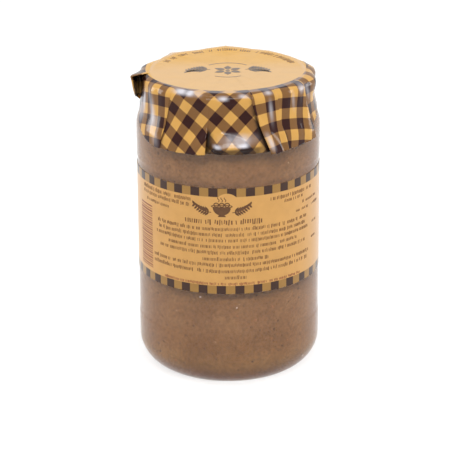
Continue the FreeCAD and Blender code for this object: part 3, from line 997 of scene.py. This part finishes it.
def film_columns(fall, closure):
    """Columns round the film: azimuth, stand-off, hem height, place in the print by drop, painted
    shade.

    The fall is 0 at the lid's edge and 1 at the hem; the closure is 0 on the lid and 1 below
    its edge. Every fold adds its two turns and the layer between, so all courses match.
    """
    columns = []
    for index, (hem, weave) in enumerate(PANELS):
        after = (index + 1) % len(PANELS)
        after_hem, after_weave = PANELS[after]
        left, left_side, _, left_off = fold_at(FOLDS[index], fall, closure)
        right, right_side, hidden, off = fold_at(FOLDS[after], fall, closure)
        if after == 0:
            right += 360
        for step in range(PANEL_COLUMNS + 1):
            share = step / PANEL_COLUMNS
            azimuth = left + (right - left) * share
            level = painted_shade = 0
            for away, on_top, stands_off in (
                ((azimuth - left) / PER_METRE, left_side == RIGHT, left_off),
                ((right - azimuth) / PER_METRE, right_side == LEFT, off),
            ):
                if on_top:
                    level = max(level, stands_off(away))
                else:
                    stands = stands_off(0)
                    near = eased(1 - away / (SHADE_LEAST + SHADE_REACH * stands))
                    shade = min(SHADE_DEPTH * near, 1) * min(stands / SHADE_FULL, 1)
                    painted_shade = max(painted_shade, shade)
            low = hem[0] * (1 - share) * (1 - 2 * share) + 4 * hem[1] * share * (1 - share)
            low += hem[2] * share * (2 * share - 1)
            printed = partial(weave_at, weave, azimuth)
            columns.append((azimuth, level, low * MM, printed, painted_shade * closure))
        # The fold at the panel's right end: turn, hidden layer, turn. Each step is a shift round,
        # a stand-off, 1 where it is in the next panel's print, and its shift in that print.
        (edge, edge_curl), (half_way, half_curl), (inmost, inmost_curl) = [
            (off(away), min(off(away) / 2, CURL)) for away in (0, hidden / 2, hidden)
        ]
        lower = inmost - inmost_curl
        bend_out, bend_in = pi * edge_curl / 2, pi * lower / 2
        turns = [(part / 4, sin(pi * part / 4), cos(pi * part / 4)) for part in range(1, 5)]
        path = [
            (edge_curl / 2 * out, edge - edge_curl / 2 * (1 - up), 0, bend_out * part)
            for part, out, up in turns
        ] + [
            (-hidden / 2, half_way - half_curl, 0, bend_out + hidden / 2),
            (-hidden, lower, 0, bend_out + hidden),
        ] + [
            (-hidden - lower / 2 * out, lower / 2 * (1 + up), 1, -hidden - bend_in * (1 - part))
            for part, out, up in turns
        ] + [(-hidden / 2, 0, 1, -hidden / 2)]
        if right_side == RIGHT:
            path = [(-shift, level, 1 - owner, -aside) for shift, level, owner, aside in path[::-1]]
            # Here the panel's own print runs on through the inner turn.
            path[INMOST] = (hidden, lower, 0, hidden + bend_in)
        # The hidden layers inside the fold are painted in shade.
        shade = closure * (OPEN_SHADE if edge > OPEN_FOLD else 1)
        for place, (shift, level, owner, aside) in enumerate(path):
            low = hem[2] + (after_hem[0] - hem[2]) * (place + 1) / (len(path) + 1)
            printed = partial(weave_at, (weave, after_weave)[owner], right + aside * PER_METRE)
            seen = place < 2 if right_side == LEFT else place > 8
            columns.append((
                right + shift * PER_METRE, level, low * MM, printed, 0 if seen else shade
            ))
    return columns


def ripple(azimuth, height, across, down):
    """Smooth uneven waves, repeating once round; the sizes are in metres."""
    turn = radians(azimuth)
    reach = FILM_REACH / across
    return noise.noise(Vector((reach * sin(turn), reach * cos(turn), height / down)))


def pucker(azimuth):
    """How far the gathered film puckers out round the lid's edge."""
    return ripple(azimuth, 0, 5.5 * MM, 10 * MM) * PUCKER


def edge_corner(azimuth):
    """How far out and up the film stands off the lid's edge at an azimuth."""
    out, up = 0, 0
    for middle, half, reach, lift in EDGE_CORNERS:
        share = max(1 - abs(off_azimuth(azimuth, middle)) / half, 0)
        out += reach * MM * share
        up += lift * MM * share
    return out, up


def lip(azimuth, height):
    """How far the curled hem stands out at a place in front, and how much painted shade it gets
    there.
    """
    inside = eased((azimuth - LIP_LEFT) / LIP_EASE[0]) * eased((LIP_RIGHT - azimuth) / LIP_EASE[1])
    beside = azimuth - CREASE_AZIMUTH
    crease = (CREASE_HEIGHT - CREASE_RIGHT * max(beside, 0) - CREASE_LEFT * max(-beside, 0)) * MM
    turned_in = eased((LIP_CREST - height) / LIP_TURN)
    out = LIP_OUT * inside * min(max((crease - height) / LIP_TALL, 0), 1.05)
    return out * (1 - 0.9 * turned_in), inside * eased((LIP_CREST - height) / (0.8 * MM))


def painted_sheen_at(azimuth, height):
    """How much painted sheen the film has at a place of its edge or skirt."""
    painted_sheen = 0
    for middle, middle_height, half_wide, half_tall, slant, strength in PAINTED_SHEENS:
        over = height / MM - middle_height
        share = eased(1 - abs(off_azimuth(azimuth, middle + slant * over)) / half_wide)
        painted_sheen += strength * share * eased(1 - abs(over) / half_tall)
    streaks = 1 + 0.9 * ripple(azimuth, height, 2.6 * MM, 9 * MM)
    return min(max(painted_sheen * streaks, 0), 1)


def drape(height):
    """The radius of the film's inside at a height."""
    return float(np.interp(height / MM, DRAPE_HEIGHTS, DRAPE_RADII)) * MM


def disc_height(azimuth, radius):
    """The height of the film's underside on the flat of the lid."""
    near_edge = eased(radius / DISC_RADIUS * 3 - 2)
    sag = DISC_SAG * ripple(azimuth, radius, 14 * MM, 9 * MM)
    return FILM_TOP + (sag + edge_corner(azimuth)[1] * CROWN_LIFT) * near_edge


# Courses of columns from the middle of the lid out, over its edge and down to the hem. A column
# is its place, its place in the print, its painted shade and its painted sheen.
courses = []
for row in range(1, DISC_ROWS + 1):
    radius = DISC_RADIUS * sin(pi / 2 * row / DISC_ROWS)
    rim_sheen = RIM_PAINTED_SHEEN * eased((radius - RIM_FROM) / RIM_WIDE)
    drop = -CORNER * pi / 2 - (DISC_RADIUS - radius)
    courses.append([])
    for azimuth, level, low, printed, painted_shade in film_columns(0, 0):
        place = around(radius, radians(azimuth), disc_height(azimuth, radius))
        # Painted reflection: the front half of the disc and the rim at the back are paled.
        painted_sheen = CROWN_PAINTED_SHEEN * eased((CROWN_REACH - place[1]) / CROWN_REACH)
        painted_sheen += rim_sheen * eased((place[1] + 4 * MM) / (9 * MM))
        courses[-1].append((place, printed(drop), painted_shade, painted_sheen))
for row in range(1, CORNER_ROWS):
    turned = pi / 2 * row / CORNER_ROWS
    over, down = sin(turned), cos(turned)
    drop = -CORNER * pi / 2 + CORNER * turned
    courses.append([])
    for azimuth, level, low, printed, painted_shade in film_columns(0, over):
        out, up = edge_corner(azimuth)
        radius = DISC_RADIUS + level
        radius += (drape(TURN_HEIGHT) - DISC_RADIUS + pucker(azimuth) + out) * over
        height = TURN_HEIGHT + CORNER * down + (LIFTED * level + up) * (1 - down)
        height += up * CROWN_LIFT * down
        courses[-1].append((
            around(radius, radians(azimuth), height), printed(drop), painted_shade,
            painted_sheen_at(azimuth, height),
        ))
edge_levels = [column[1] for column in film_columns(0, 1)]
for row in range(SKIRT_ROWS + 1):
    fall = row / SKIRT_ROWS
    courses.append([])
    for edge_level, (azimuth, level, low, printed, painted_shade) in zip(
        edge_levels, film_columns(fall, 1)
    ):
        out, up = edge_corner(azimuth)
        height = TURN_HEIGHT - (TURN_HEIGHT - low) * fall
        lip_out, lip_shade = lip(azimuth, height)
        hang = (0.3 + ripple(azimuth, height, 8 * MM, 16 * MM)) * HANG * eased(fall * HANG_GROWS)
        radius = drape(height) + (pucker(azimuth) + out) * (1 - eased(fall * OUT_FADES))
        radius += level + hang + lip_out
        height += (LIFTED * edge_level + up) * (1 - eased(fall * UP_FADES))
        courses[-1].append((
            around(radius, radians(azimuth), height),
            printed((TURN_HEIGHT - low) * fall * WEAVE_FALL),
            max(painted_shade, LIP_SHADE * lip_shade), painted_sheen_at(azimuth, height),
        ))

shape = bmesh.new()
print_map = shape.loops.layers.uv.new("print")
painted_shade_map = shape.verts.layers.float.new("painted_shade")
painted_sheen_map = shape.verts.layers.float.new("painted_sheen")
# The middle of the lid stands before the courses, as one vertex for all its columns.
total = len(courses[0])
middle = shape.verts.new((0, 0, FILM_TOP))
middle[painted_sheen_map] = CROWN_PAINTED_SHEEN
verts, laid = [[middle] * total], [[(0, 0)] * total]
for course in courses:
    verts.append([shape.verts.new(place) for place, _, _, _ in course])
    laid.append([printed_at for _, printed_at, _, _ in course])
    for vert, (_, _, painted_shade, painted_sheen) in zip(verts[-1], course):
        vert[painted_shade_map], vert[painted_sheen_map] = painted_shade, painted_sheen
for column in range(total):
    beside = (column + 1) % total
    for row in range(len(courses)):
        corners = [(row, column), (row + 1, column), (row + 1, beside), (row, beside)]
        if row == 0:
            corners.pop()
        face = shape.faces.new([verts[above][along] for above, along in corners])
        face.smooth = True
        for loop, (above, along) in zip(face.loops, corners):
            loop[print_map].uv = laid[above][along]
cover_mesh = mesh_of(shape)

FILM_YELLOW = (0.65, 0.352, 0.062)
PAINTED_SHEEN_COLOUR = (0.6, 0.58, 0.62)
# Colour of the painted shade in and beside the folds, and how far it goes at most.
FILM_SHADE = (0.012, 0.006, 0.004)
SHADE_MOST = 0.93
GINGHAM = 8.8 * MM
GINGHAM_SOFT = 0.09
GINGHAM_YELLOW = (0.585, 0.318, 0.08)
GINGHAM_BROWN = (0.195, 0.092, 0.03)
GINGHAM_DARK = (0.03, 0.007, 0.005)
PRINT_DISC = 33.2 * MM
PRINT_ASIDE = (-0.95 * MM, 4.4 * MM)


printed_film, tree, film = finish("printed_film", 0.11, 0.16)
across, down = [
    bars(way, GINGHAM, GINGHAM_SOFT)
    for way in parts(add(tree, "UVMap", uv_map="print"))[:2]
]
gingham = mixed(across.to("MAXIMUM", down), GINGHAM_YELLOW, GINGHAM_BROWN)
gingham = mixed(across * down, gingham, GINGHAM_DARK)
where = add(tree, "TexCoord", out="Object")
x, y, z = parts(where)
from_middle = distance(x - PRINT_ASIDE[0], y - PRINT_ASIDE[1])
turned_down = (cover_high.z - z).to("MAXIMUM", 0.0)
on_top = beyond(from_middle + turned_down, PRINT_DISC, above=False, soft=2 * PRINT_SOFT)
colour = mixed(on_top, gingham, FILM_YELLOW)
colour = times(colour, ranged(clouds(tree, 180, 4), 0, 1, 0.92, 1.07))
# Painted sheen: the film's colour is paled where it would mirror the light.
colour = mixed(value_of(tree, "painted_sheen"), colour, PAINTED_SHEEN_COLOUR)
crinkles = add(tree, "Mapping", {"Vector": where, "Scale": (1, 1, 0.35)})
# Painted shade darkens the film in its folds, beside raised edges and on the turned-in hem.
fill(film, {
    "Base Color": mixed(value_of(tree, "painted_shade") * SHADE_MOST, colour, FILM_SHADE),
    "Normal": relief(clouds(tree, 150, 3, on=crinkles), 0.3, 0.0005),
})

cover_piece = place_piece("cover_film", cover_mesh, printed_film, "cover_film", "cover")
thick = cover_piece.modifiers.new("film", "SOLIDIFY")
thick.thickness = FILM_THICK
thick.offset = 1.0

# Print on the disc: a ring of short dashes near its back edge and, in its middle, a flower
# between two leafy sprigs.
DASH_RING = 28.3 * MM
DASH_TALL = 2.1 * MM
DASH_PITCH = 0.95 * MM
# Azimuths of the ends and seed of each run of dashes.
DASHES = ((110, 158, 3), (161, 198, 8), (202, 250, 21))
FLOWER_FORWARD = 0.5 * MM


def on_disc(across, back, lift=0):
    """The point of the film's disc at a place seen from above and a lift off it."""
    radius = math.hypot(across, back)
    azimuth = math.degrees(math.atan2(across, -back))
    return (across, back, disc_height(azimuth, radius) + FILM_THICK + lift)


dash_ring = joined_mesh([
    row_mesh(DASH_RING, start, end, 0.0, DASH_TALL, DASH_PITCH, seed, lying=1.0)
    for start, end, seed in DASHES
])
for vert in dash_ring.vertices:
    vert.co = on_disc(*vert.co)
tan_ink = ink("tan_ink", (0.11, 0.045, 0.016), (0.2, 0.088, 0.03))
place_piece("disc_dashes", dash_ring, tan_ink, "cover_film")

# Six petals round a middle, an arc over and one under them, and the sprigs, in millimetres.
flower = []
for degrees in range(30, 390, 60):
    turn = radians(degrees)
    flower.append(leaf(1.5 * cos(turn), 1.5 * sin(turn), 4.6, 3.0, degrees))
flower.append(arc_points(0, 0, 1.0, 1.0, 0, 324, 9))
flower += stem(arc_points(0, 2, 10, 8.5, 40, 140, 16), 0.5)
flower += stem(arc_points(0, -1, 9, 8.5, 235, 305, 12), 0.5)
flower += sprigs(
    [(7.2 + 1.25 * step, 1.6 - 0.1 * (step - 2) ** 2) for step in range(8)],
    0.5, 5.4, 0.42, ((1, 1.4, 62), (1, 1.4, -50)),
)
flower_mesh = printed_mesh(flower, MM, lambda x, y, lift: on_disc(x, y - FLOWER_FORWARD, lift))
grey_ink = ink("grey_ink", (0.125, 0.098, 0.085), (0.22, 0.165, 0.12))
place_piece("disc_flower", flower_mesh, grey_ink, "cover_film")
